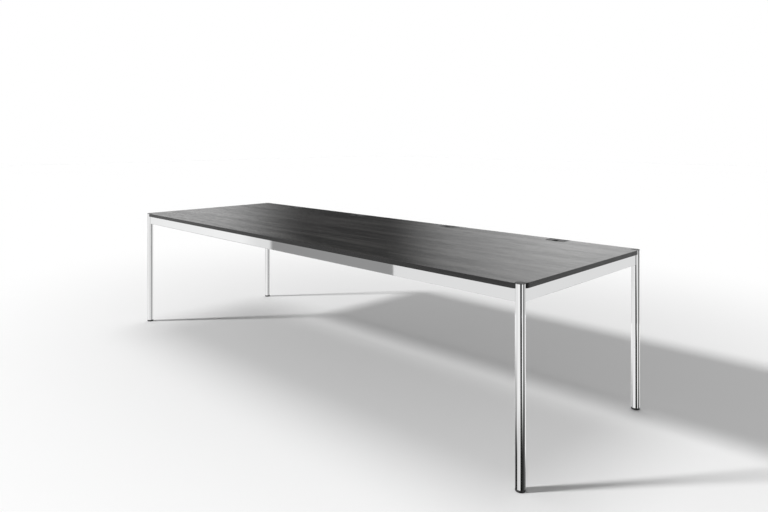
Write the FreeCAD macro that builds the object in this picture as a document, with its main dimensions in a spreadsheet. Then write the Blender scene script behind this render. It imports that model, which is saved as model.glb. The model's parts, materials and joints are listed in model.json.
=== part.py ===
import FreeCAD, Part
import math
import os
import re
import Sketcher
from FreeCAD import Placement, Rotation, Vector

# Rectangular office table: a panel on a frame of rails between four round legs, with levelling feet
# and cable outlets. The origin is on the floor under the middle of the top. X runs along the table,
# Y from its front edge to its rear edge, where the outlets are, and Z up.

SIZES = {
    # Overall
    "table_length": 3000,
    "table_depth": 1000,
    "table_height": 740,
    # Top
    "top_thickness": 20,
    "top_corner_radius": 50,
    "notch_clearance": 0.5,
    # Legs, whose axes stand in from the edges of the top
    "leg_inset": 19,
    "leg_diameter": 38,
    "leg_wall": 2,
    "plug_clearance": 0.1,
    # Leg caps
    "cap_head_height": 2,
    "cap_plug_height": 12,
    "cap_plug_wall": 2,
    "cap_edge_radius": 0.5,
    # Rails
    "rail_height": 50,
    "rail_width": 20,
    "rail_wall": 2,
    "rail_edge_radius": 2.5,
    "cope_clearance": 0.1,
    # Cross rails
    "cross_rail_height": 40,
    "cross_rail_width": 20,
    "cross_rail_wall": 2,
    "cross_rail_edge_radius": 2,
    "cross_rail_place": 500,
    # Rail joints: a stud in the leg's nut block draws the connector block of the rail
    "nut_block_height": 46,
    "block_length": 30,
    "block_clearance": 0.2,
    "stud_diameter": 8,
    "stud_inner_end": 3,
    "stud_outer_end": 42,
    "stud_offset": 9,
    "waist_diameter": 6,
    "waist_length": 9,
    "lock_place": 34,
    "lock_diameter": 8,
    "lock_length": 9,
    "lock_gap": 0.1,
    "lock_socket_width": 4,
    "lock_socket_depth": 4,
    "thread_clearance": 0.05,
    "drill_clearance": 0.25,
    # Angle cleats and their screws
    "cleat_leg": 36,
    "cleat_width": 30,
    "cleat_thickness": 3,
    "cleat_hole_place": 20,
    "cleat_from_middle": 150,
    "cleat_from_leg": 131,
    "screw_diameter": 5,
    "screw_length": 16,
    "screw_head_diameter": 9.5,
    "screw_head_height": 3,
    "screw_socket_width": 3,
    "screw_socket_depth": 2,
    "pilot_overrun": 0.5,
    # Levelling feet
    "foot_height": 10,
    "pad_diameter": 38,
    "foot_edge_radius": 3,
    "foot_gap": 0.3,
    "pad_base": 4.4,
    "pad_lip": 1,
    "stem_diameter": 10,
    "stem_top": 55,
    "stem_disc_diameter": 16,
    "stem_collar_width": 17,
    "stem_collar_height": 4.7,
    "insert_height": 30,
    "insert_recess_diameter": 22,
    # Cable outlets, an inner and an outer one in each half of the rear edge
    "outlet_from_middle": 390,
    "outlet_from_end": 410,
    "outlet_width": 110,
    "outlet_depth": 75,
    "outlet_corner_radius": 20,
    "outlet_fit": 0.3,
    "outlet_wall": 3,
    "outlet_rear_wall": 4,
    "outlet_ledge": 3,
    "flange_thickness": 3,
    "flange_lip": 5,
    "flange_ear": 15,
    "flange_rail_gap": 1,
    # Flaps of the outlets
    "flap_drop": 0.3,
    "flap_thickness": 2.5,
    "flap_gap": 0.6,
    "flap_seat_gap": 0.3,
    "barrel_diameter": 5.5,
    "barrel_room": 0.7,
    "hinge_pin_diameter": 2.5,
    "hinge_pin_hold": 2.5,
    "hinge_running_clearance": 0.1,
    "hinge_press_clearance": 0.01,
    "mouth_width": 30,
    "mouth_depth": 34,
    # One overrun for all cuts
    "overrun": 5,
}

SIDES = (("left", -1), ("right", 1))
ENDS = (("front", -1), ("rear", 1))
CLEATS_PER_HALF = 3

# How much of a direction lies along another when the two count as parallel
PARALLEL_SHARE = 0.999

# Formulas that several pieces share
TOP_UNDERSIDE = "(table_height - top_thickness)"
LEG_X = "(table_length / 2 - leg_inset)"
LEG_Y = "(table_depth / 2 - leg_inset)"
LEG_BORE = "(leg_diameter - 2 * leg_wall)"
LEG_TOP = "(table_height - cap_head_height)"
PLUG_DIAMETER = f"({LEG_BORE} - 2 * plug_clearance)"
RAIL_MIDDLE = f"({TOP_UNDERSIDE} - rail_height / 2)"
RAIL_INNER_Y = f"({LEG_Y} - rail_width / 2)"
RAIL_INNER_X = f"({LEG_X} - rail_width / 2)"
COPE_DIAMETER = "(leg_diameter + 2 * cope_clearance)"
THREAD_BORE = "(stud_diameter + 2 * thread_clearance)"
STUD_DRILL = "(stud_diameter + 2 * drill_clearance)"
SCREW_DRILL = "(screw_diameter + 2 * drill_clearance)"
SCREW_BORE = "(screw_diameter + 2 * thread_clearance)"
FLAP_POCKET = "(flap_drop + flap_thickness + flap_seat_gap)"
HINGE_Y = "(outlet_rear_wall + flap_gap + barrel_diameter / 2)"
HINGE_Z = "(flap_drop + barrel_diameter / 2)"
FLANGE_REAR = "(leg_inset + rail_width / 2 + flange_rail_gap)"
FLANGE_FRONT = "(outlet_depth + flange_lip)"

# Ways to turn a piece that points down in its own frame
UPRIGHT = Rotation()
UP = Rotation(Vector(1, 0, 0), 180)
POINTING_X = {-1: Rotation(Vector(0, 1, 0), 90), 1: Rotation(Vector(0, 1, 0), -90)}
POINTING_Y = {-1: Rotation(Vector(1, 0, 0), -90), 1: Rotation(Vector(1, 0, 0), 90)}

# Ways to turn a piece that reaches to the right in its own frame
OVER = Rotation(Vector(1, 0, 0), 180)
ALONG_X = {-1: Rotation(Vector(0, 0, 1), 180), 1: UPRIGHT}
ALONG_Y = {-1: Rotation(Vector(0, 0, 1), -90), 1: Rotation(Vector(0, 0, 1), 90)}


def bound(formula):
    """Turn a formula of size names into an expression on the sheet."""
    return re.sub(r"[a-z_]+", lambda name: "Sizes." + name.group(), formula)


def make_sheet(document):
    """Write the driving dimensions into the spreadsheet."""
    made = document.addObject("Spreadsheet::Sheet", "Sizes")
    for row, (name, value) in enumerate(SIZES.items(), start=1):
        made.set(f"A{row}", name)
        made.set(f"B{row}", str(value))
        made.setAlias(f"B{row}", name)
    document.recompute()
    return made


doc = FreeCAD.newDocument("ModularTable")
sheet = make_sheet(doc)


def value(formula):
    """The present value of a formula."""
    return float(sheet.evalExpression(bound(formula)))


def signed(sign, formula):
    """A formula on the positive or the negative side."""
    return formula if sign > 0 else f"-({formula})"


def place(thing, x="0", y="0", z="0", rotation=UPRIGHT):
    """Put a piece at a place given in formulas."""
    thing.Placement = Placement(Vector(), rotation)
    for axis, formula in zip("xyz", (x, y, z)):
        thing.setExpression("Placement.Base." + axis, bound(formula))
    return thing


# Sketches

def new_sketch(body, plane, x="0", y="0", z="0"):
    """A sketch on one of the body's own planes, moved within and off it."""
    sketch = body.newObject("Sketcher::SketchObject", body.Name + "_sketch")
    support = next(item for item in body.Origin.OriginFeatures if item.Role == plane)
    sketch.AttachmentSupport = [(support, "")]
    sketch.MapMode = "FlatFace"
    for axis, formula in zip("xyz", (x, y, z)):
        sketch.setExpression("AttachmentOffset.Base." + axis, bound(formula))
    return sketch


def drive(sketch, formula, kind, *where):
    """Add a constraint whose size is a formula."""
    index = sketch.addConstraint(Sketcher.Constraint(kind, *where, value(formula)))
    name = f"size{index}"
    sketch.renameConstraint(index, name)
    sketch.setExpression("Constraints." + name, bound(formula))


def draw_circle(sketch, diameter):
    """A circle about the sketch's origin."""
    circle = Part.Circle(Vector(), Vector(0, 0, 1), value(diameter) / 2)
    index = sketch.addGeometry(circle, False)
    sketch.addConstraint(Sketcher.Constraint("Coincident", index, 3, -1, 1))
    drive(sketch, diameter, "Diameter", index)


def draw_closed_lines(sketch, corners):
    """Lines from corner to corner, and from the last to the first."""
    lines = []
    for start, end in zip(corners, corners[1:] + corners[:1]):
        lines.append(sketch.addGeometry(Part.LineSegment(start, end), False))
    for line, following in zip(lines, lines[1:] + lines[:1]):
        sketch.addConstraint(Sketcher.Constraint("Coincident", line, 2, following, 1))
    return lines


def draw_rectangle(sketch, width, height):
    """A rectangle about the sketch's origin."""
    half_width = value(width) / 2
    half_height = value(height) / 2
    corners = [Vector(x * half_width, y * half_height) for x, y in ((-1, -1), (1, -1), (1, 1), (-1, 1))]
    bottom, right, top, left = draw_closed_lines(sketch, corners)
    for line in (bottom, top):
        sketch.addConstraint(Sketcher.Constraint("Horizontal", line))
    for line in (right, left):
        sketch.addConstraint(Sketcher.Constraint("Vertical", line))
    sketch.addConstraint(Sketcher.Constraint("Symmetric", bottom, 1, top, 1, -1, 1))
    drive(sketch, width, "DistanceX", bottom, 1, bottom, 2)
    drive(sketch, height, "DistanceY", right, 1, right, 2)


def hold_point(sketch, line, x, y):
    """Hold the start of a line at a place given in formulas."""
    for kind, axis, formula in (("DistanceX", -2, x), ("DistanceY", -1, y)):
        distance = value(formula)
        if distance == 0:
            sketch.addConstraint(Sketcher.Constraint("PointOnObject", line, 1, axis))
        elif distance > 0:
            drive(sketch, formula, kind, -1, 1, line, 1)
        else:
            drive(sketch, f"-({formula})", kind, line, 1, -1, 1)


def draw_polygon(sketch, corners):
    """A polygon whose corners are given in formulas."""
    points = [Vector(value(x), value(y)) for x, y in corners]
    for line, (x, y) in zip(draw_closed_lines(sketch, points), corners):
        hold_point(sketch, line, x, y)


def draw_tongue(sketch, width, depth, radius):
    """A tongue that reaches forward from the X axis, with two round front corners."""
    half = value(width) / 2
    reach = value(depth)
    bend = value(radius)
    centres = [Vector(side * (half - bend), bend - reach) for side in (1, -1)]
    rear, right, front, left = (
        sketch.addGeometry(Part.LineSegment(start, end), False)
        for start, end in (
            (Vector(-half, 0), Vector(half, 0)),
            (Vector(half, 0), Vector(half, bend - reach)),
            (Vector(half - bend, -reach), Vector(bend - half, -reach)),
            (Vector(-half, bend - reach), Vector(-half, 0)),
        )
    )
    arcs = []
    for centre, start in zip(centres, (-math.pi / 2, math.pi)):
        circle = Part.Circle(centre, Vector(0, 0, 1), bend)
        arcs.append(sketch.addGeometry(Part.ArcOfCircle(circle, start, start + math.pi / 2), False))
    right_arc, left_arc = arcs
    for kind, *where in (
        ("Coincident", rear, 2, right, 1),
        ("Coincident", left, 2, rear, 1),
        ("Tangent", right, 2, right_arc, 2),
        ("Tangent", right_arc, 1, front, 1),
        ("Tangent", front, 2, left_arc, 2),
        ("Tangent", left_arc, 1, left, 1),
        ("Horizontal", rear),
        ("Horizontal", front),
        ("Vertical", right),
        ("Vertical", left),
        ("Symmetric", rear, 1, rear, 2, -1, 1),
        ("Equal", right_arc, left_arc),
    ):
        sketch.addConstraint(Sketcher.Constraint(kind, *where))
    drive(sketch, width, "DistanceX", rear, 1, rear, 2)
    drive(sketch, depth, "DistanceY", front, 1, -1, 1)
    drive(sketch, radius, "Radius", right_arc)


# Features

def new_body(name):
    """An empty body."""
    return doc.addObject("PartDesign::Body", name)


def pad(body, sketch, length, symmetric=False, reverse=False):
    """Raise a sketch into a solid."""
    feature = body.newObject("PartDesign::Pad", body.Name + "_pad")
    feature.Profile = sketch
    feature.SideType = "Symmetric" if symmetric else "One side"
    feature.Reversed = reverse
    feature.setExpression("Length", bound(length))
    doc.recompute()


def pocket(body, sketch, length, symmetric=False, reverse=False):
    """Cut a sketch out of the solid, and make sure that it cut something."""
    volume = body.Shape.Volume
    feature = body.newObject("PartDesign::Pocket", body.Name + "_pocket")
    feature.Profile = sketch
    feature.SideType = "Symmetric" if symmetric else "One side"
    feature.Reversed = reverse
    feature.setExpression("Length", bound(length))
    doc.recompute()
    if body.Shape.Volume >= volume:
        raise ValueError(feature.Name + " cuts nothing")


def revolve(body, corners):
    """Turn a polygon of radii and heights about the body's upright axis."""
    sketch = new_sketch(body, "XZ_Plane")
    draw_polygon(sketch, corners)
    feature = body.newObject("PartDesign::Revolution", body.Name + "_revolution")
    feature.Profile = sketch
    feature.ReferenceAxis = (sketch, ["V_Axis"])
    doc.recompute()


def fillet(body, radius, wanted):
    """Round the edges that the test picks."""
    tip = body.Tip
    names = [f"Edge{number}" for number, edge in enumerate(tip.Shape.Edges, start=1) if wanted(edge)]
    feature = body.newObject("PartDesign::Fillet", body.Name + "_fillet")
    feature.Base = (tip, names)
    feature.setExpression("Radius", bound(radius))
    doc.recompute()


def is_along(edge, direction):
    """Whether an edge is straight and runs along a direction."""
    if edge.Curve.TypeId != "Part::GeomLine":
        return False
    return abs(edge.Curve.Direction.dot(direction)) > PARALLEL_SHARE


def make_cylinder(name, diameter, height, **where):
    """A plain cylinder."""
    cylinder = doc.addObject("Part::Cylinder", name)
    cylinder.setExpression("Radius", bound(f"({diameter}) / 2"))
    cylinder.setExpression("Height", bound(height))
    return place(cylinder, **where)


def make_hexagon(name, width, height, **where):
    """A hexagonal prism, given across its flats."""
    prism = doc.addObject("Part::Prism", name)
    prism.Polygon = 6
    prism.setExpression("Circumradius", bound(f"({width}) / 2") + f" / cos({180 / prism.Polygon})")
    prism.setExpression("Height", bound(height))
    return place(prism, **where)


def fuse(name, pieces):
    """Join pieces into one solid."""
    fused = doc.addObject("Part::MultiFuse", name)
    fused.Shapes = pieces
    return fused


def gather(name, pieces):
    """Hold pieces together as separate solids."""
    group = doc.addObject("Part::Compound", name)
    group.Links = pieces
    return group


def cut(name, base, tools):
    """Cut tools out of a piece."""
    result = doc.addObject("Part::Cut", name)
    result.Base = base
    result.Tool = gather(name + "_tools", tools)
    return result


def repeat(name, master, places):
    """Set a copy of the master piece at each place."""
    links = []
    for where in places:
        link = doc.addObject("App::Link", name)
        link.LinkedObject = master
        links.append(place(link, *where))
    return links


# Places that pieces share

def corners():
    """The end, the side and the signs of each leg's corner."""
    return [(end, side, x, y) for end, y in ENDS for side, x in SIDES]


def outlets():
    """The name of each outlet and its middle along the rear edge."""
    places = (("inner", "outlet_from_middle"), ("outer", "table_length / 2 - outlet_from_end"))
    return [(f"{side}_{name}", signed(x, place)) for side, x in SIDES for name, place in places]


def long_cleats():
    """The middle of each top cleat along a long rail, evenly spaced in each half."""
    spacing = f"({LEG_X} - cleat_from_leg - cleat_from_middle) / {CLEATS_PER_HALF - 1}"
    return [
        signed(x, f"cleat_from_middle + {number} * {spacing}")
        for _, x in SIDES
        for number in range(CLEATS_PER_HALF)
    ]


def rail_joints():
    """For each rail and corner, the places of the stud, the locking screw and the connector block."""
    joints = {}
    inward_x = f"({LEG_X} - lock_place)"
    inward_y = f"({LEG_Y} - lock_place)"
    lock_drop = "waist_diameter / 2 + lock_gap + lock_length"
    for end, side, x, y in corners():
        leg_x = signed(x, LEG_X)
        leg_y = signed(y, LEG_Y)
        high = f"{RAIL_MIDDLE} + stud_offset"
        low = f"{RAIL_MIDDLE} - stud_offset"
        joints[end, f"{end}_{side}"] = {
            "stud": (leg_x, leg_y, high, POINTING_X[-x]),
            "lock": (signed(x, inward_x), leg_y, f"{high} - ({lock_drop})"),
            "block": (leg_x, leg_y, RAIL_MIDDLE, ALONG_X[-x]),
        }
        joints[side, f"{end}_{side}"] = {
            "stud": (leg_x, leg_y, low, POINTING_Y[-y]),
            "lock": (leg_x, signed(y, inward_y), f"{low} - ({lock_drop})"),
            "block": (leg_x, leg_y, RAIL_MIDDLE, ALONG_Y[-y].multiply(OVER)),
        }
    return joints


def cleat_screws():
    """For each rail, the seats of the cleats' screws that go into it."""
    seats = {rail: [] for rail in ("front", "rear", "left", "right", "cross_left", "cross_right")}
    top_height = f"{TOP_UNDERSIDE} - cleat_hole_place"
    cross_height = f"{TOP_UNDERSIDE} - cross_rail_height / 2"
    long_seat = f"({RAIL_INNER_Y} - cleat_thickness)"
    side_seat = f"({RAIL_INNER_X} - cleat_thickness)"
    beside = "(cross_rail_place + cross_rail_width / 2)"
    for end, y in ENDS:
        for x in long_cleats():
            seats[end].append((x, signed(y, long_seat), top_height, POINTING_Y[y]))
    for side, x in SIDES:
        seats[side].append((signed(x, side_seat), "0", top_height, POINTING_X[x]))
    for end, side, x, y in corners():
        seats[end].append((
            signed(x, f"{beside} + cleat_hole_place"), signed(y, long_seat), cross_height, POINTING_Y[y]))
        seats[f"cross_{side}"].append((
            signed(x, f"{beside} + cleat_thickness"), signed(y, f"{RAIL_INNER_Y} - cleat_hole_place"),
            cross_height, POINTING_X[-x]))
    return seats


def top_screws():
    """The seat of each screw that goes up through a cleat into the top."""
    height = f"{TOP_UNDERSIDE} - cleat_thickness"
    places = []
    for _, y in ENDS:
        for x in long_cleats():
            places.append((x, signed(y, f"{RAIL_INNER_Y} - cleat_hole_place"), height, UP))
    for _, x in SIDES:
        places.append((signed(x, f"{RAIL_INNER_X} - cleat_hole_place"), "0", height, UP))
    return places


def outlet_screws(outlet):
    """The seats of the screws that go up through an outlet's two ears into the top."""
    middle = f"table_depth / 2 - ({FLANGE_REAR} + {FLANGE_FRONT}) / 2"
    height = f"{TOP_UNDERSIDE} - flange_thickness"
    return [
        (f"{outlet} + {signed(side, 'outlet_width / 2 + flange_ear / 2')}", middle, height, UP)
        for _, side in SIDES
    ]


# Masters of the pieces that repeat

def make_screw():
    """A pan head screw with a hexagonal socket, whose seat is its origin."""
    head = make_cylinder("screw_head", "screw_head_diameter", "screw_head_height")
    shank = make_cylinder("screw_shank", "screw_diameter", "screw_length", z="-screw_length")
    socket = make_hexagon("screw_socket", "screw_socket_width", "screw_socket_depth + overrun",
                          z="screw_head_height - screw_socket_depth")
    return cut("screw", fuse("screw_blank", [head, shank]), [socket])


def make_stud():
    """A draw stud whose origin is the leg's axis, with the waist that the locking screw meets."""
    waist_start = "(lock_place - waist_length / 2)"
    waist_end = "(lock_place + waist_length / 2)"
    inner = make_cylinder("stud_inner", "stud_diameter", f"{waist_start} - stud_inner_end",
                          z=f"-{waist_start}")
    waist = make_cylinder("stud_waist", "waist_diameter", "waist_length", z=f"-{waist_end}")
    outer = make_cylinder("stud_outer", "stud_diameter", f"stud_outer_end - {waist_end}",
                          z="-stud_outer_end")
    return fuse("stud", [inner, waist, outer])


def make_lock_screw():
    """A locking screw with a socket in its lower end."""
    blank = make_cylinder("lock_blank", "lock_diameter", "lock_length")
    socket = make_hexagon("lock_socket", "lock_socket_width", "lock_socket_depth + overrun", z="-overrun")
    return cut("lock_screw", blank, [socket])


def make_connector_block():
    """The block in a rail's end, with its origin at the leg's axis, reaching to the right."""
    body = new_body("connector_body")
    reach = "(leg_diameter / 2 + cope_clearance + block_length)"
    sketch = new_sketch(body, "YZ_Plane")
    clear = "2 * rail_wall - 2 * block_clearance"
    draw_rectangle(sketch, f"rail_width - {clear}", f"rail_height - {clear}")
    pad(body, sketch, reach)
    cope = new_sketch(body, "XY_Plane")
    draw_circle(cope, COPE_DIAMETER)
    pocket(body, cope, "2 * rail_height", symmetric=True)
    bore = new_sketch(body, "YZ_Plane", y="stud_offset")
    draw_circle(bore, THREAD_BORE)
    pocket(body, bore, f"{reach} + overrun", reverse=True)
    lock_bore = new_sketch(body, "XY_Plane", x="lock_place")
    draw_circle(lock_bore, "lock_diameter + 2 * thread_clearance")
    pocket(body, lock_bore, "2 * rail_height", symmetric=True)
    return body


def make_cleat():
    """An angle cleat with its outer corner at the origin and a hole in each leg."""
    body = new_body("cleat_body")
    sketch = new_sketch(body, "XZ_Plane")
    draw_polygon(sketch, [
        ("0", "0"),
        ("cleat_leg", "0"),
        ("cleat_leg", "-cleat_thickness"),
        ("cleat_thickness", "-cleat_thickness"),
        ("cleat_thickness", "-cleat_leg"),
        ("0", "-cleat_leg"),
    ])
    pad(body, sketch, "cleat_width", symmetric=True)
    upper_hole = new_sketch(body, "XY_Plane", x="cleat_hole_place")
    draw_circle(upper_hole, SCREW_DRILL)
    pocket(body, upper_hole, "2 * cleat_thickness + overrun", symmetric=True)
    lower_hole = new_sketch(body, "YZ_Plane", y="-cleat_hole_place")
    draw_circle(lower_hole, SCREW_DRILL)
    pocket(body, lower_hole, "2 * cleat_thickness + overrun", symmetric=True)
    return body


def make_drill(name, diameter, below, above="0"):
    """A drill that reaches below and above its origin, held in a group so that a copy keeps that."""
    return gather(name, [make_cylinder(name + "_core", diameter, f"{below} + {above}", z=f"-({below})")])


# Top

def make_tabletop(pilots):
    """The panel, notched for the legs and the outlets and drilled for its screws."""
    body = new_body("panel_body")
    blank = new_sketch(body, "XY_Plane", z=TOP_UNDERSIDE)
    draw_rectangle(blank, "table_length", "table_depth")
    pad(body, blank, "top_thickness")
    fillet(body, "top_corner_radius", lambda edge: is_along(edge, Vector(0, 0, 1)))
    for _, _, x, y in corners():
        notch = new_sketch(body, "XY_Plane", signed(x, LEG_X), signed(y, LEG_Y), TOP_UNDERSIDE)
        draw_circle(notch, "leg_diameter + 2 * notch_clearance")
        pocket(body, notch, "2 * top_thickness + overrun", symmetric=True)
    for _, outlet in outlets():
        notch = new_sketch(body, "XY_Plane", outlet, "table_depth / 2 + overrun", TOP_UNDERSIDE)
        draw_tongue(notch, "outlet_width + 2 * outlet_fit", "outlet_depth + outlet_fit + overrun",
                    "outlet_corner_radius + outlet_fit")
        pocket(body, notch, "2 * top_thickness + overrun", symmetric=True)
    return cut("tabletop", body, pilots)


# Legs

def make_leg(corner, x, y, drills):
    """A leg tube, drilled where the two rails meet it."""
    body = new_body(f"leg_tube_body_{corner}")
    ring = new_sketch(body, "XY_Plane", signed(x, LEG_X), signed(y, LEG_Y), "foot_height")
    draw_circle(ring, "leg_diameter")
    draw_circle(ring, LEG_BORE)
    pad(body, ring, f"{LEG_TOP} - foot_height")
    return cut(f"leg_tube_{corner}", body, drills)


def make_cap(corner, x, y):
    """A flat cap with a hollow plug, flush with the top."""
    body = place(new_body(f"leg_cap_{corner}"), signed(x, LEG_X), signed(y, LEG_Y), "table_height")
    plug_end = "-(cap_head_height + cap_plug_height)"
    hollow = f"{PLUG_DIAMETER} / 2 - cap_plug_wall"
    revolve(body, [
        ("0", "0"),
        ("leg_diameter / 2", "0"),
        ("leg_diameter / 2", "-cap_head_height"),
        (f"{PLUG_DIAMETER} / 2", "-cap_head_height"),
        (f"{PLUG_DIAMETER} / 2", plug_end),
        (hollow, plug_end),
        (hollow, "-2 * cap_head_height"),
        ("0", "-2 * cap_head_height"),
    ])
    fillet(body, "cap_edge_radius", lambda edge: edge.BoundBox.ZMin > -value("cap_edge_radius"))
    return body


def make_nut_block(corner, x, y):
    """The block in a leg that the studs of both rails screw into."""
    body = place(new_body(f"leg_nut_block_{corner}"), signed(x, LEG_X), signed(y, LEG_Y), RAIL_MIDDLE)
    disc = new_sketch(body, "XY_Plane")
    draw_circle(disc, PLUG_DIAMETER)
    pad(body, disc, "nut_block_height", symmetric=True)
    for plane, height in (("YZ_Plane", "stud_offset"), ("XZ_Plane", "-stud_offset")):
        bore = new_sketch(body, plane, y=height)
        draw_circle(bore, THREAD_BORE)
        pocket(body, bore, "leg_diameter + overrun", symmetric=True)
    return body


# Rails

def make_rail_section(name, plane, width, height, wall, radius, length, direction):
    """A length of rectangular tube with round outer edges, about the origin."""
    body = new_body(name)
    sketch = new_sketch(body, plane)
    draw_rectangle(sketch, width, height)
    pad(body, sketch, length, symmetric=True)
    fillet(body, radius, lambda edge: is_along(edge, direction))
    hollow = new_sketch(body, plane)
    draw_rectangle(hollow, f"{width} - 2 * {wall}", f"{height} - 2 * {wall}")
    pocket(body, hollow, f"{length} + overrun", symmetric=True)
    return body


def make_long_rail(end, y, drills):
    """The rail along the front or the rear edge, coped round the legs."""
    body = make_rail_section(f"rail_body_{end}", "YZ_Plane", "rail_width", "rail_height", "rail_wall",
                             "rail_edge_radius", f"2 * {LEG_X}", Vector(1, 0, 0))
    for _, x in SIDES:
        cope = new_sketch(body, "XY_Plane", x=signed(x, LEG_X))
        draw_circle(cope, COPE_DIAMETER)
        pocket(body, cope, "2 * rail_height", symmetric=True)
    place(body, y=signed(y, LEG_Y), z=RAIL_MIDDLE)
    return cut(f"rail_{end}", body, drills)


def make_side_rail(side, x, drills):
    """The rail along one end of the table, coped round the legs."""
    body = make_rail_section(f"rail_body_{side}", "XZ_Plane", "rail_width", "rail_height", "rail_wall",
                             "rail_edge_radius", f"2 * {LEG_Y}", Vector(0, 1, 0))
    for _, y in ENDS:
        cope = new_sketch(body, "XY_Plane", y=signed(y, LEG_Y))
        draw_circle(cope, COPE_DIAMETER)
        pocket(body, cope, "2 * rail_height", symmetric=True)
    place(body, x=signed(x, LEG_X), z=RAIL_MIDDLE)
    return cut(f"rail_{side}", body, drills)


def make_cross_rail(side, x, drills):
    """A rail across the frame, between the long rails."""
    body = make_rail_section(f"cross_rail_body_{side}", "XZ_Plane", "cross_rail_width", "cross_rail_height",
                             "cross_rail_wall", "cross_rail_edge_radius", f"2 * {RAIL_INNER_Y}",
                             Vector(0, 1, 0))
    place(body, x=signed(x, "cross_rail_place"), z=f"{TOP_UNDERSIDE} - cross_rail_height / 2")
    return cut(f"cross_rail_{side}", body, drills)


def make_top_cleats(master):
    """The cleats that hold the top to the rails."""
    places = []
    for _, y in ENDS:
        for x in long_cleats():
            places.append((x, signed(y, RAIL_INNER_Y), TOP_UNDERSIDE, ALONG_Y[-y]))
    for _, x in SIDES:
        places.append((signed(x, RAIL_INNER_X), "0", TOP_UNDERSIDE, ALONG_X[-x]))
    return gather("top_cleats", repeat("top_cleat", master, places))


def make_cross_cleats(master):
    """The cleats in the corners between the cross rails and the long rails."""
    on_edge = Rotation(Vector(1, 0, 0), -90)
    turns = {(1, 1): ALONG_X[1], (1, -1): ALONG_Y[1], (-1, -1): ALONG_X[-1], (-1, 1): ALONG_Y[-1]}
    height = f"{TOP_UNDERSIDE} - cross_rail_height / 2"
    places = [
        (signed(x, "cross_rail_place + cross_rail_width / 2"), signed(y, RAIL_INNER_Y), height,
         turns[x, y].multiply(on_edge))
        for _, _, x, y in corners()
    ]
    return gather("cross_rail_cleats", repeat("cross_rail_cleat", master, places))


# Levelling feet

def make_insert(corner, x, y):
    """The threaded insert in a leg's end, recessed for the stem's collar."""
    body = place(new_body(f"foot_insert_{corner}"), signed(x, LEG_X), signed(y, LEG_Y), "foot_height")
    recess = "2 * foot_gap + stem_collar_height"
    bore = "stem_diameter / 2 + thread_clearance"
    revolve(body, [
        ("insert_recess_diameter / 2", "0"),
        (f"{PLUG_DIAMETER} / 2", "0"),
        (f"{PLUG_DIAMETER} / 2", "insert_height"),
        (bore, "insert_height"),
        (bore, recess),
        ("insert_recess_diameter / 2", recess),
    ])
    return body


def make_stem(corner, x, y):
    """The threaded stem: a disc held in the pad, a hexagonal collar and the shaft."""
    disc_bottom = "(pad_base + foot_gap)"
    disc_top = "(foot_height - pad_lip - 2 * foot_gap)"
    disc = make_cylinder(f"stem_disc_{corner}", "stem_disc_diameter", f"{disc_top} - {disc_bottom}",
                         z=disc_bottom)
    collar = make_hexagon(f"stem_collar_{corner}", "stem_collar_width", "stem_collar_height",
                          z="foot_height + foot_gap")
    shaft = make_cylinder(f"stem_shaft_{corner}", "stem_diameter", f"stem_top - {disc_bottom}",
                          z=disc_bottom)
    stem = fuse(f"foot_stem_{corner}", [disc, collar, shaft])
    return place(stem, signed(x, LEG_X), signed(y, LEG_Y))


def make_pad(corner, x, y):
    """The foot pad, with the undercut pocket that holds the stem's disc."""
    body = place(new_body(f"foot_pad_{corner}"), signed(x, LEG_X), signed(y, LEG_Y))
    pad_top = "foot_height - foot_gap"
    neck = "stem_diameter / 2 + foot_gap"
    pocket_radius = "stem_disc_diameter / 2 + foot_gap"
    lip_bottom = f"{pad_top} - pad_lip"
    revolve(body, [
        ("0", "0"),
        ("pad_diameter / 2", "0"),
        ("pad_diameter / 2", pad_top),
        (neck, pad_top),
        (neck, lip_bottom),
        (pocket_radius, lip_bottom),
        (pocket_radius, "pad_base"),
        ("0", "pad_base"),
    ])
    fillet(body, "foot_edge_radius", lambda edge: edge.BoundBox.ZMax < value("foot_edge_radius"))
    return body


# Cable outlets, each in a frame of its own: the origin is on the rear edge at the top surface

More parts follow.
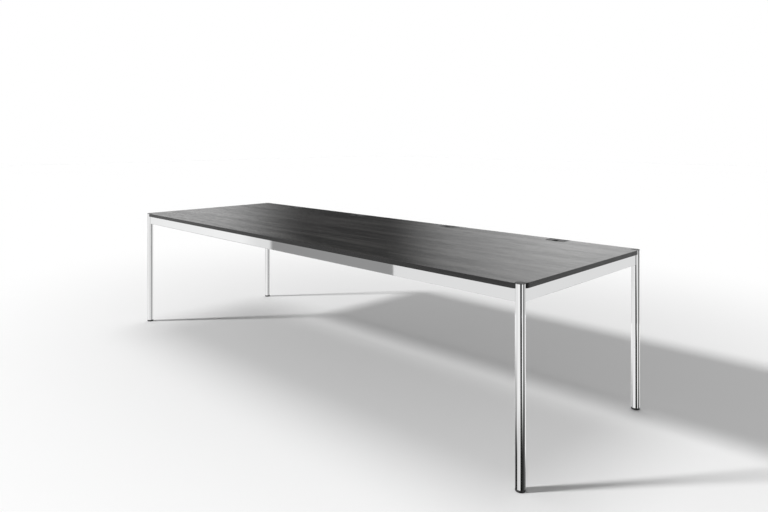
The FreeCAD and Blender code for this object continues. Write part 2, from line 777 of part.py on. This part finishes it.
def make_outlet_frame(name, outlet, drills):
    """The moulded frame: a sleeve through the top, a ledge for the flap and ears under the top."""
    body = place(new_body(f"outlet_body_{name}"), outlet, "table_depth / 2", "table_height")
    sleeve = new_sketch(body, "XY_Plane")
    draw_tongue(sleeve, "outlet_width", "outlet_depth", "outlet_corner_radius")
    pad(body, sleeve, "top_thickness", reverse=True)
    flange = new_sketch(body, "XY_Plane", y=f"-({FLANGE_REAR} + {FLANGE_FRONT}) / 2", z="-top_thickness")
    draw_rectangle(flange, "outlet_width + 2 * flange_ear", f"{FLANGE_FRONT} - {FLANGE_REAR}")
    pad(body, flange, "flange_thickness", reverse=True)
    seat = new_sketch(body, "XY_Plane", y="-outlet_rear_wall")
    draw_tongue(seat, "outlet_width - 2 * outlet_wall", "outlet_depth - outlet_wall - outlet_rear_wall",
                "outlet_corner_radius - outlet_wall")
    pocket(body, seat, FLAP_POCKET)
    shaft = new_sketch(body, "XY_Plane", y="-outlet_rear_wall")
    inset = "(outlet_wall + outlet_ledge)"
    draw_tongue(shaft, f"outlet_width - 2 * {inset}", f"outlet_depth - {inset} - outlet_rear_wall",
                f"outlet_corner_radius - {inset}")
    pocket(body, shaft, "top_thickness + flange_thickness + overrun")
    hinge_room = f"({HINGE_Y} + barrel_diameter / 2 + barrel_room - outlet_rear_wall)"
    room = new_sketch(body, "XY_Plane", y=f"-(outlet_rear_wall + {hinge_room} / 2)")
    draw_rectangle(room, "outlet_width - 2 * outlet_wall", hinge_room)
    pocket(body, room, f"{HINGE_Z} + barrel_diameter / 2 + barrel_room")
    pin_bore = new_sketch(body, "YZ_Plane", x=f"-{HINGE_Y}", y=f"-{HINGE_Z}")
    draw_circle(pin_bore, "hinge_pin_diameter + 2 * hinge_press_clearance")
    pocket(body, pin_bore, "outlet_width + overrun", symmetric=True)
    return cut(f"outlet_frame_{name}", body, drills)


def make_flap(name, outlet):
    """The flap: a plate with the cable mouth in its front edge and the hinge barrel at its rear."""
    body = place(new_body(f"outlet_flap_{name}"), outlet, "table_depth / 2", "table_height")
    width = "(outlet_width - 2 * outlet_wall - 2 * flap_gap)"
    front = "(outlet_depth - outlet_wall - flap_gap)"
    plate = new_sketch(body, "XY_Plane", y=f"-{HINGE_Y}", z="-flap_drop")
    draw_tongue(plate, width, f"{front} - {HINGE_Y}", "outlet_corner_radius - outlet_wall - flap_gap")
    pad(body, plate, "flap_thickness", reverse=True)
    barrel = new_sketch(body, "YZ_Plane", x=f"-{HINGE_Y}", y=f"-{HINGE_Z}")
    draw_circle(barrel, "barrel_diameter")
    pad(body, barrel, width, symmetric=True)
    bore = new_sketch(body, "YZ_Plane", x=f"-{HINGE_Y}", y=f"-{HINGE_Z}")
    draw_circle(bore, "hinge_pin_diameter + 2 * hinge_running_clearance")
    pocket(body, bore, "outlet_width + overrun", symmetric=True)
    mouth_end = f"({front} - mouth_depth + mouth_width / 2)"
    mouth = new_sketch(body, "XY_Plane", y=f"-{mouth_end}")
    draw_circle(mouth, "mouth_width")
    pocket(body, mouth, f"2 * {FLAP_POCKET} + overrun", symmetric=True)
    throat = f"({front} + overrun - {mouth_end})"
    way_in = new_sketch(body, "XY_Plane", y=f"-({mouth_end} + {throat} / 2)")
    draw_rectangle(way_in, "mouth_width", throat)
    pocket(body, way_in, f"2 * {FLAP_POCKET} + overrun", symmetric=True)
    return body


def make_hinge_pins():
    """The pins that the flaps turn on, pressed into the frames' side walls."""
    length = "(outlet_width - 2 * outlet_wall + 2 * hinge_pin_hold)"
    pin = make_cylinder("hinge_pin", "hinge_pin_diameter", length)
    axis_y = f"table_depth / 2 - {HINGE_Y}"
    axis_z = f"table_height - {HINGE_Z}"
    places = [(f"{outlet} + {length} / 2", axis_y, axis_z, POINTING_X[1]) for _, outlet in outlets()]
    return gather("outlet_hinge_pins", repeat("outlet_hinge_pin", pin, places))


# Assembly

def make_frame():
    """The legs and the rails, with what joins them."""
    stud = make_stud()
    block = make_connector_block()
    lock_screw = make_lock_screw()
    screw = make_screw()
    stud_drill = make_drill("stud_drill", STUD_DRILL, "leg_diameter / 2 + overrun")
    screw_drill = make_drill("screw_drill", SCREW_BORE, "cleat_thickness + 2 * rail_wall")
    key_drill = make_drill("key_drill", "lock_diameter + 2 * drill_clearance", "rail_height", "lock_gap")
    joints = rail_joints()
    seats = cleat_screws()
    cleat = make_cleat()

    nodes = []
    for end, side, x, y in corners():
        corner = f"{end}_{side}"
        studs = [joints[rail, corner]["stud"] for rail in (end, side)]
        nodes.append(make_leg(corner, x, y, repeat("leg_drill", stud_drill, studs)))
        nodes.append(make_cap(corner, x, y))
        nodes.append(make_nut_block(corner, x, y))
        nodes.append(make_insert(corner, x, y))
        nodes.append(make_stem(corner, x, y))
        nodes.append(make_pad(corner, x, y))

    def drills(rail):
        """The holes of a rail: under its locking screws, and for its cleats."""
        keys = [joint["lock"] for (name, _), joint in joints.items() if name == rail]
        return repeat("rail_drill", key_drill, keys) + repeat("rail_drill", screw_drill, seats[rail])

    for end, y in ENDS:
        nodes.append(make_long_rail(end, y, drills(end)))
    for side, x in SIDES:
        nodes.append(make_side_rail(side, x, drills(side)))
        nodes.append(make_cross_rail(side, x, drills(f"cross_{side}")))
    for name, master, kind in (
        ("connector_blocks", block, "block"),
        ("draw_studs", stud, "stud"),
        ("locking_screws", lock_screw, "lock"),
    ):
        places = [joint[kind] for joint in joints.values()]
        nodes.append(gather(name, repeat(name + "_piece", master, places)))
    nodes.append(make_top_cleats(cleat))
    nodes.append(make_cross_cleats(cleat))
    cleat_seats = [seat for rail in seats.values() for seat in rail]
    nodes.append(gather("cleat_screws", repeat("cleat_screw", screw, cleat_seats)))
    nodes.append(gather("top_screws", repeat("top_screw", screw, top_screws())))
    return nodes, screw


def make_top(screw):
    """The top with its cable outlets."""
    pilot = make_drill("pilot", SCREW_BORE, "screw_length + pilot_overrun")
    ear_drill = make_drill("ear_drill", SCREW_DRILL, "flange_thickness + overrun", "overrun")
    outlet_seats = [seat for _, outlet in outlets() for seat in outlet_screws(outlet)]
    nodes = [make_tabletop(repeat("panel_hole", pilot, top_screws() + outlet_seats))]
    for name, outlet in outlets():
        drills = repeat("ear_hole", ear_drill, outlet_screws(outlet))
        nodes.append(make_outlet_frame(name, outlet, drills))
        nodes.append(make_flap(name, outlet))
    nodes.append(make_hinge_pins())
    nodes.append(gather("outlet_screws", repeat("outlet_screw", screw, outlet_seats)))
    return nodes


def check(nodes):
    """Stop at a feature that failed, or at a sub-part with no sound shape."""
    for item in doc.Objects:
        if {"Invalid", "Error"} & set(item.State):
            raise RuntimeError(f"{item.Name} failed: {item.State}")
    for node in nodes:
        if node.Shape.isNull() or not node.Shape.isValid():
            raise RuntimeError(f"{node.Label} has no sound shape")


def write(nodes):
    """Write each sub-part to a file of its own."""
    os.makedirs("parts", exist_ok=True)
    for node in nodes:
        node.Shape.exportStep(f"parts/{node.Label}.step")


frame_nodes, frame_screw = make_frame()
table = frame_nodes + make_top(frame_screw)
doc.recompute()
check(table)
write(table)
print(len(table), "nodes,", sum(len(node.Shape.Solids) for node in table), "solids")
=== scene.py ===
import json
import math

import bpy
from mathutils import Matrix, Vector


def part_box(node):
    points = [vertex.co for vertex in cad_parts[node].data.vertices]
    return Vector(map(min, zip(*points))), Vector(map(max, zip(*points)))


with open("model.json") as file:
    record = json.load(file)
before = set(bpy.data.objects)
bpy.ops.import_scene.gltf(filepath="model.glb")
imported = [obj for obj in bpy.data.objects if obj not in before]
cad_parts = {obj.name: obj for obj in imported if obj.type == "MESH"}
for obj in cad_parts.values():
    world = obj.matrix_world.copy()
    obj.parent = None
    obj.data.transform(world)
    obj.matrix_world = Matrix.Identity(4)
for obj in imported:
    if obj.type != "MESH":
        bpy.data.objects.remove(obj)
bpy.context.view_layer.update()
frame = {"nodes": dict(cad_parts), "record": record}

# The camera, fitted to the photograph: the picture's width, the focal length and the horizon's height above
# the picture's middle, all in pixels, the sensor's width in millimetres, the camera's place in metres, its
# turn to the left from facing the rear, in degrees, and how far it sees, in metres
IMAGE_WIDTH = 768
FOCAL_PIXELS = 630.57
HORIZON_ABOVE_MIDDLE = 117.32
SENSOR = 36.0
CAMERA_AT = (2.7262, -2.4107, 1.2529)
CAMERA_TURN = 45.032
CAMERA_REACH = 100.0

WHITE = (1.0, 1.0, 1.0, 1.0)


# Node building

class Net:
    """A node tree that is built by short calls; a value that is a socket is linked, any other is set."""

    def __init__(self, tree):
        self.tree = tree
        tree.nodes.clear()

    def add(self, kind, settings=None, **inputs):
        """A new node; an input goes by its socket's name, with _ for a space, or by i and its number."""
        node = self.tree.nodes.new(kind)
        for key, value in (settings or {}).items():
            setattr(node, key, value)
        for key, value in inputs.items():
            numbered = key[0] == "i" and key[1:].isdigit()
            socket = node.inputs[int(key[1:]) if numbered else key.replace("_", " ")]
            if isinstance(value, bpy.types.NodeSocket):
                self.tree.links.new(value, socket)
            else:
                socket.default_value = value
        return node

    def math(self, operation, a, b=0.0):
        return self.add("ShaderNodeMath", {"operation": operation}, i0=a, i1=b).outputs["Value"]

    def add_up(self, *terms):
        """The sum of values, each times its share."""
        total = None
        for value, share in terms:
            part = self.math("MULTIPLY", value, share)
            total = part if total is None else self.math("ADD", total, part)
        return total

    def step(self, value, start, end, bottom=0.0, top=1.0):
        """Runs smoothly from bottom, where the value is at the start, to top, where it is at the end."""
        node = self.add("ShaderNodeMapRange", {"interpolation_type": "SMOOTHSTEP"},
                        Value=value, From_Min=start, From_Max=end, To_Min=bottom, To_Max=top)
        return node.outputs["Result"]

    def ramp(self, value, *stops):
        """A ramp of colours; each stop is a place and a colour."""
        node = self.add("ShaderNodeValToRGB", Fac=value)
        elements = node.color_ramp.elements
        while len(elements) < len(stops):
            elements.new(1.0)
        for element, (place, colour) in zip(elements, stops):
            element.position = place
            element.color = (*colour, 1.0)
        return node.outputs["Color"]

    def grey(self, value, low, high, tint=(1.0, 1.0, 1.0)):
        """A colour between two greys, each times the tint."""
        return self.ramp(value, (0.0, [low * t for t in tint]), (1.0, [high * t for t in tint]))

    def here(self):
        """The place on the object, in metres in the table's frame."""
        return self.add("ShaderNodeTexCoord").outputs["Object"]

    def scaled(self, where, scale):
        return self.add("ShaderNodeMapping", Vector=where, Scale=scale).outputs["Vector"]

    def noise(self, where, scale, detail, roughness=0.5, distortion=0.0):
        """A cloudy noise; its scale is about how many lumps a metre has."""
        node = self.add("ShaderNodeTexNoise", Vector=where, Scale=scale, Detail=detail,
                        Roughness=roughness, Distortion=distortion)
        return node.outputs["Fac"]

    def bump(self, height, distance, strength):
        """The normal of a relief; distance is its depth in metres."""
        node = self.add("ShaderNodeBump", Height=height, Distance=distance, Strength=strength)
        return node.outputs["Normal"]

    def mix(self, share, a, b):
        """Colour a, or as much of b as the share says."""
        return self.add("ShaderNodeMix", {"data_type": "RGBA"}, i0=share, i6=a, i7=b).outputs[2]

    def either(self, share, a, b):
        """Shader a, or as much of b as the share says."""
        return self.add("ShaderNodeMixShader", Fac=share, i1=a, i2=b).outputs["Shader"]


def new_material(name):
    """A material, and the net of its nodes."""
    material = bpy.data.materials.new(name)
    material.use_nodes = True
    return material, Net(material.node_tree)


def finish_of(name, build):
    """A material whose Principled shader takes what build(net) returns."""
    material, net = new_material(name)
    shader = net.add("ShaderNodeBsdfPrincipled", **build(net))
    net.add("ShaderNodeOutputMaterial", Surface=shader.outputs["BSDF"])
    return material


# Materials

# The layers of the wood's grain: how fine each is, per metre, along the grain and across it
FIGURE = (1.3, 15.0)
FLECKS = (14.0, 130.0)
FIBRES = (9.0, 420.0)
PORES = (34.0, 1250.0)
# The broad bands are drawn out along the grain by this scale
BAND_SCALE = (0.35, 1.0, 1.0)
# The wood's linear colours, from its darkest streaks to its lightest, and those of its pores and edge bands
DARK_WOOD = (0.0060, 0.0058, 0.0056)
MIDDLE_WOOD = (0.0220, 0.0215, 0.0208)
LIGHT_WOOD = (0.0540, 0.0524, 0.0503)
PORE_COLOUR = (0.004, 0.0039, 0.0038, 1.0)
EDGE_COLOUR = (0.003, 0.003, 0.003, 1.0)
# How much the pores and the edge bands cover of the wood's own colour, and how much rougher an edge band is
PORE_COVER = 0.7
EDGE_COVER = 0.85
EDGE_ROUGHER = 0.13
# From where to where a face turns into an end band, by the share of its normal that points along the table,
# and into any edge band, by the share that points up or down
END_BAND = (0.66, 0.74)
EDGE_BAND = (0.6, 0.4)


def stained_wood(net):
    """Black-stained ash veneer under satin lacquer; its grain runs along the table, and along each edge band.

    The edge bands are darker and duller than the lacquered face."""
    normal = net.add("ShaderNodeNewGeometry").outputs["Normal"]
    faces = net.add("ShaderNodeSeparateXYZ", Vector=normal)
    end_band = net.step(net.math("ABSOLUTE", faces.outputs["X"]), *END_BAND)
    edge = net.step(net.math("ABSOLUTE", faces.outputs["Z"]), *EDGE_BAND)
    here = net.here()
    xyz = net.add("ShaderNodeSeparateXYZ", Vector=here)
    turned = net.add("ShaderNodeCombineXYZ", X=xyz.outputs["Y"], Y=xyz.outputs["Z"], Z=xyz.outputs["X"])
    along_grain = net.mix(end_band, here, turned.outputs["Vector"])

    def layer(fineness, **settings):
        along, across = fineness
        return net.noise(net.scaled(along_grain, (along, across, across)), 1.0, **settings)

    figure = net.step(layer(FIGURE, detail=3.0, roughness=0.55, distortion=0.5), 0.32, 0.68)
    flecks = net.step(layer(FLECKS, detail=3.0, roughness=0.6), 0.34, 0.66)
    fibres = layer(FIBRES, detail=4.0, roughness=0.62)
    pores = net.step(layer(PORES, detail=2.0), 0.56, 0.64)
    bands = net.add("ShaderNodeTexWave", {"wave_type": "BANDS", "bands_direction": "Y"},
                    Vector=net.scaled(along_grain, BAND_SCALE), Scale=22.0, Distortion=9.0,
                    Detail=3.0, Detail_Scale=0.55).outputs["Fac"]
    tone = net.add_up((figure, 0.50), (flecks, 0.22), (bands, 0.10), (fibres, 0.18))
    wood = net.ramp(tone, (0.26, DARK_WOOD), (0.50, MIDDLE_WOOD), (0.74, LIGHT_WOOD))
    pored = net.mix(net.math("MULTIPLY", pores, PORE_COVER), wood, PORE_COLOUR)
    relief = net.add_up((fibres, 0.5), (flecks, 0.8), (pores, -1.6))
    lacquer = net.step(net.add_up((flecks, 0.45), (figure, 0.35), (fibres, 0.2)), 0.1, 0.9,
                       bottom=0.23, top=0.10)
    return {"Base_Color": net.mix(net.math("MULTIPLY", edge, EDGE_COVER), pored, EDGE_COLOUR),
            "Roughness": net.math("ADD", lacquer, net.math("MULTIPLY", edge, EDGE_ROUGHER)),
            "Normal": net.bump(relief, distance=0.00003, strength=0.7),
            "IOR": 1.5}


def chrome(net):
    """Polished chrome plate: a very faint unevenness, and a gloss that varies a little."""
    cloud = net.noise(net.here(), 9.0, detail=3.0)
    fine = net.noise(net.here(), 2700.0, detail=2.0)
    gloss = net.add_up((cloud, 0.7), (fine, 0.3))
    return {"Base_Color": net.grey(cloud, 0.845, 0.875, tint=(0.995, 0.998, 1.0)),
            "Metallic": 1.0,
            "Roughness": net.step(gloss, 0.3, 0.7, bottom=0.012, top=0.028),
            "Normal": net.bump(cloud, distance=0.00002, strength=0.3)}


def moulded(low, high, roughness, grain, depth):
    """Moulded black plastic with slight flow marks, between two greys.

    Its fine spark-eroded grain has a size and a depth in metres."""
    def build(net):
        here = net.here()
        flow = net.noise(here, 35.0, detail=3.0, distortion=0.4)
        cells = net.add("ShaderNodeTexVoronoi", {"feature": "SMOOTH_F1"}, Vector=here, Scale=1.0 / grain)
        fine = net.noise(here, 2.2 / grain, detail=2.0)
        relief = net.add_up((cells.outputs["Distance"], 0.7), (fine, 0.3))
        tone = net.add_up((flow, 0.6), (fine, 0.4))
        return {"Base_Color": net.grey(tone, low, high, tint=(1.0, 1.0, 1.01)),
                "Roughness": net.step(fine, 0.3, 0.7, bottom=roughness - 0.05, top=roughness + 0.05),
                "Normal": net.bump(relief, distance=depth, strength=0.6),
                "IOR": 1.49}
    return build


def cast_metal(net):
    """Die-cast alloy as it comes from the mould: a dull skin with a fine pitted grain."""
    here = net.here()
    skin = net.noise(here, 160.0, detail=4.0, roughness=0.6)
    pits = net.add("ShaderNodeTexVoronoi", Vector=here, Scale=1400.0).outputs["Distance"]
    return {"Base_Color": net.grey(skin, 0.46, 0.62, tint=(1.0, 1.0, 1.015)),
            "Metallic": 1.0,
            "Roughness": net.step(skin, 0.3, 0.7, bottom=0.42, top=0.58),
            "Normal": net.bump(net.add_up((skin, 1.0), (pits, 0.4)), distance=0.00006, strength=0.6)}


def coated_steel(net):
    """Black powder coat with its orange-peel skin."""
    here = net.here()
    peel = net.noise(here, 420.0, detail=2.0, roughness=0.45)
    speck = net.noise(here, 2600.0, detail=1.0)
    return {"Base_Color": net.grey(speck, 0.045, 0.075, tint=(1.0, 1.0, 1.02)),
            "Roughness": net.step(peel, 0.3, 0.7, bottom=0.40, top=0.52),
            "Normal": net.bump(peel, distance=0.00008, strength=0.7),
            "IOR": 1.5}


def zinc_steel(net):
    """Bright zinc plate on turned steel: fine rings round an upright axis and a faint patchy bloom."""
    here = net.here()
    bloom = net.noise(here, 260.0, detail=3.0, roughness=0.55)
    rings = net.noise(net.scaled(here, (90.0, 90.0, 5200.0)), 1.0, detail=2.0)
    return {"Base_Color": net.grey(bloom, 0.50, 0.68, tint=(1.0, 0.995, 0.98)),
            "Metallic": 1.0,
            "Roughness": net.step(net.add_up((bloom, 0.5), (rings, 0.5)), 0.3, 0.7, bottom=0.20, top=0.34),
            "Normal": net.bump(rings, distance=0.00001, strength=0.5)}


cap_plastic = moulded(low=0.016, high=0.030, roughness=0.50, grain=0.0009, depth=0.00004)
foot_plastic = moulded(low=0.012, high=0.024, roughness=0.50, grain=0.0011, depth=0.00006)
insert_plastic = moulded(low=0.018, high=0.034, roughness=0.45, grain=0.0012, depth=0.00005)
outlet_plastic = moulded(low=0.018, high=0.032, roughness=0.50, grain=0.0008, depth=0.00004)
finishes = {
    "stained_wood": finish_of("stained_wood_veneer", stained_wood),
    "chrome": finish_of("chrome_plate", chrome),
    "cap_plastic": finish_of("cap_plastic_black", cap_plastic),
    "foot_plastic": finish_of("foot_plastic_black", foot_plastic),
    "insert_plastic": finish_of("insert_plastic_black", insert_plastic),
    "outlet_plastic": finish_of("outlet_plastic_black", outlet_plastic),
    "cast_metal": finish_of("cast_alloy", cast_metal),
    "coated_steel": finish_of("powder_coat_black", coated_steel),
    "zinc_steel": finish_of("zinc_plate", zinc_steel),
}
for row in frame["record"]["subparts"]:
    piece = frame["nodes"][row["node"]]
    piece.data.materials.clear()
    piece.data.materials.append(finishes[row["material_slot"]])


# Floor, surroundings and lamps

# The floor's side and its level, in metres; it lies a hair above the pads' undersides, so that no face of a
# lowered foot is in its plane
FLOOR_SIZE = 60.0
FLOOR_LEVEL = 0.00015
# The floor's linear grey, and how much it varies either way
FLOOR_TONE = 0.735
FLOOR_MOTTLE = 0.004
# For the camera alone, the floor whitens outwards in an oval into the white background, and its darker
# middle, under and behind the table, is painted shade: the oval's middle in metres, how many times as long as
# wide it is, and how far out from its middle, measured across it, the whitening starts and is complete
WHITE_MIDDLE = (-0.04, 0.89)
WHITE_STRETCH = 1.35
WHITE_FROM, WHITE_TO = 0.05, 3.34

# The floor is left out of reflections, so that the screens below the horizon show in them
bpy.ops.mesh.primitive_plane_add(size=FLOOR_SIZE, location=(0.0, 0.0, FLOOR_LEVEL))
floor = bpy.context.object
floor.name = "studio_floor"
floor.visible_glossy = False


def floor_finish():
    """Matt pale floor that keeps the shadows and, seen directly, whitens outwards into the background; its
    darker middle, under and behind the table, is painted shade.
    """
    material, net = new_material("studio_floor_white")
    here = net.here()
    pale = net.grey(net.noise(here, 3.0, detail=2.0), FLOOR_TONE - FLOOR_MOTTLE, FLOOR_TONE + FLOOR_MOTTLE)
    oval = net.add("ShaderNodeMapping", {"vector_type": "TEXTURE"}, Vector=here,
                   Location=(*WHITE_MIDDLE, 0.0), Scale=(WHITE_STRETCH, 1.0, 1.0))
    away = net.add("ShaderNodeVectorMath", {"operation": "LENGTH"}, i0=oval.outputs["Vector"])
    # painted shade: seen directly, the floor stays darker under and behind the table and whitens outwards
    # into the white background
    painted_shade_to_white = net.step(away.outputs["Value"], WHITE_FROM, WHITE_TO)
    seen = net.add("ShaderNodeLightPath").outputs["Is Camera Ray"]
    tone = net.mix(net.math("MULTIPLY", painted_shade_to_white, seen), pale, WHITE)
    matt = net.add("ShaderNodeBsdfDiffuse", Color=tone)
    net.add("ShaderNodeOutputMaterial", Surface=matt.outputs["BSDF"])
    return material


floor.data.materials.append(floor_finish())

# The strength of the even light from all round, which reflections don't show
WORLD_LEVEL = 0.189

# What reflections show: a white studio with soft-edged screens, a later one in front of an earlier one.
# Each row gives the compass angles counterclockwise from +X, from -90 to 270, between which the screen comes
# in and goes out, then the heights above the horizon in the same way, and its tone. A screen that reaches the
# compass's end goes a degree past it. Many share a low edge, a middle one, or one at the horizon.
LOW, MIDDLE, HORIZON = (-34, -31), (-15.4, -15.1), (-2, 2)
SCREENS = [
    # Behind the table, above the horizon: the dark middle of the top
    ((140, 146, 160, 200), (*HORIZON, 25, 45), 0.72),
    ((116.5, 131, 140, 150), (*HORIZON, 25, 45), 0.46),
    ((128, 135, 141.5, 151), (*HORIZON, 25, 45), 0.06),
    # All round, below the horizon: the light grey of the rails and the grey lines of the legs
    ((33, 45, 67, 72), (*MIDDLE, *HORIZON), 0.82),
    ((70, 75, 95, 120), (*MIDDLE, *HORIZON), 0.65),
    ((136, 156, 190, 212), (*MIDDLE, *HORIZON), 0.80),
    ((212, 214, 240, 250), (*LOW, *HORIZON), 0.84),
    ((-58, -52, -35, -21), (*MIDDLE, *HORIZON), 0.62),
    ((-35, -33, -23, -20), (*MIDDLE, *HORIZON), 0.50),
    # Mostly low down: the legs darken towards their feet
    ((244, 250, 270, 271), (*LOW, -25, -21.5), 0.72),
    ((-91, -90, -62, -56), (*LOW, -25, -21.5), 0.80),
    ((33, 36, 54, 57), (*LOW, *HORIZON), 0.55),
    ((33, 36, 55, 59), (*LOW, -24.5, -17), 0.03),
    ((68, 70, 92, 112), (*LOW, -27.5, -25.5), 0.05),
    ((124, 150, 183, 187), (*LOW, -20.5, -16.5), 0.60),
    ((156, 161, 196, 204), (*LOW, -25.5, -22), 0.05),
    ((184, 188, 196, 202), (*LOW, -22, -15.2), 0.25),
    ((193, 198, 214, 226), (*LOW, -25.5, -17), 0.02),
    ((193, 198, 232, 241), (*LOW, -26.5, -23.5), 0.02),
    ((-24, -20, 12, 16), (*LOW, -26.5, -19.5), 0.02),
    ((50, 54, 62, 68), (*LOW, -26.5, -23), 0.03),
    # To the right, from low down to the horizon: the thin dark lines near the legs' right edges
    ((5, 8, 32, 35), (*LOW, *HORIZON), 0.05),
    # The grey panel that the front rail mirrors
    ((214.6, 215, 225.75, 225.85), (-12.8, -12.2, *HORIZON), 0.32),
]


def surroundings():
    """Plain white for the camera, the studio with its screens in reflections, and even light for the rest."""
    world = bpy.data.worlds.new("studio")
    bpy.context.scene.world = world
    world.use_nodes = True
    net = Net(world.node_tree)
    way = net.add("ShaderNodeSeparateXYZ", Vector=net.add("ShaderNodeTexCoord").outputs["Generated"])
    turn = net.math("DIVIDE", net.math("ARCTAN2", way.outputs["Y"], way.outputs["X"]), 2 * math.pi)
    # A quarter turn is added and taken off again, so that the compass starts at -90 degrees
    whole_turn = net.math("FRACT", net.math("ADD", turn, 0.25))
    compass = net.math("SUBTRACT", net.math("MULTIPLY", whole_turn, 360), 90)
    height = net.math("MULTIPLY", net.math("ARCSINE", way.outputs["Z"]), 180 / math.pi)
    studio = WHITE
    for (in_from, in_to, out_from, out_to), (low_from, low_to, high_from, high_to), tone in SCREENS:
        cover = net.step(compass, in_from, in_to)
        for value, clear, covered in ((compass, out_to, out_from), (height, low_from, low_to),
                                      (height, high_to, high_from)):
            cover = net.math("MULTIPLY", cover, net.step(value, clear, covered))
        studio = net.mix(cover, studio, (tone, tone, tone, 1.0))

    def light(colour, strength):
        return net.add("ShaderNodeBackground", Color=colour, Strength=strength).outputs["Background"]

    path = net.add("ShaderNodeLightPath").outputs
    unseen = net.either(path["Is Glossy Ray"], light(WHITE, WORLD_LEVEL), light(studio, 1.0))
    net.add("ShaderNodeOutputWorld", Surface=net.either(path["Is Camera Ray"], unseen, light(WHITE, 1.0)))


surroundings()

# Narrow black flags close beside the two right legs, which show only in reflections: their distance from the
# leg's axis in metres, and rows from the bottom up, each a height in metres and the compass angles from that
# axis to the flag's two ends there
FLAG_AWAY = 0.079
FLAGS = {
    "front_right": [(-0.095, 303.9, 333.8), (0.30, 303.9, 333.8), (0.567, 300.8, 333.8),
                    (0.606, 300.4, 330.5), (0.732, 299.0, 330.4)],
    "rear_right": [(-0.045, 293.7, 334.5), (0.30, 293.0, 331.5), (0.36, 291.0, 325.5),
                   (0.53, 290.0, 318.5), (0.62, 290.0, 311.0), (0.735, 290.0, 306.0)],
}


def flag_cloth():
    """Black cloth on the side of the leg, and clear from outside, where the rail would mirror it."""
    material, net = new_material("studio_flag_cloth")
    weave = net.noise(net.here(), 300.0, detail=2.0)
    cloth = net.add("ShaderNodeBsdfDiffuse", Color=net.grey(weave, 0.012, 0.020))
    clear = net.add("ShaderNodeBsdfTransparent")
    inside = net.add("ShaderNodeNewGeometry").outputs["Backfacing"]
    sided = net.either(inside, clear.outputs["BSDF"], cloth.outputs["BSDF"])
    net.add("ShaderNodeOutputMaterial", Surface=sided)
    return material


def make_flag(corner, rows):
    """An upright flag that mirrors as a dark line down its leg; its faces look away from the leg."""
    low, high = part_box(f"leg_tube_{corner}")
    corners = []
    for height, *ends in rows:
        for angle in ends:
            corners.append(((low[0] + high[0]) / 2 + FLAG_AWAY * math.cos(math.radians(angle)),
                            (low[1] + high[1]) / 2 + FLAG_AWAY * math.sin(math.radians(angle)), height))
    mesh = bpy.data.meshes.new(f"studio_flag_{corner}")
    mesh.from_pydata(corners, [], [(i, i + 1, i + 3, i + 2) for i in range(0, len(corners) - 2, 2)])
    mesh.materials.append(flag_cloth())
    flag = bpy.data.objects.new(f"studio_flag_{corner}", mesh)
    bpy.context.scene.collection.objects.link(flag)
    flag.visible_camera = False
    flag.visible_diffuse = False
    flag.visible_shadow = False


for corner, rows in FLAGS.items():
    make_flag(corner, rows)


def sun(name, strength, compass, height, spread):
    """A distant lamp: the compass angle and height where it stands, and its spread, all in degrees.

    Like the floor, it is left out of reflections."""
    data = bpy.data.lights.new(name, "SUN")
    data.energy = strength
    data.angle = math.radians(spread)
    lamp = bpy.data.objects.new(name, data)
    bpy.context.scene.collection.objects.link(lamp)
    a, h = math.radians(compass), math.radians(height)
    lamp.location = (math.cos(h) * math.cos(a), math.cos(h) * math.sin(a), math.sin(h))
    lamp.rotation_euler = (-lamp.location).to_track_quat("-Z", "Y").to_euler()
    lamp.visible_glossy = False


sun("key_lamp", strength=3.163, compass=-128.6, height=29.65, spread=6.0)
sun("overhead_lamp", strength=1.012, compass=134.0, height=76.3, spread=39.0)


# Camera

camera_data = bpy.data.cameras.new("photo_camera")
camera_data.sensor_width = SENSOR
camera_data.lens = FOCAL_PIXELS / IMAGE_WIDTH * SENSOR
camera_data.shift_y = -HORIZON_ABOVE_MIDDLE / IMAGE_WIDTH
camera_data.clip_end = CAMERA_REACH
camera = bpy.data.objects.new("photo_camera", camera_data)
bpy.context.scene.collection.objects.link(camera)
camera.location = CAMERA_AT
camera.rotation_euler = (math.radians(90.0), 0.0, math.radians(CAMERA_TURN))
bpy.context.scene.camera = camera
bpy.context.scene.view_settings.view_transform = "Standard"
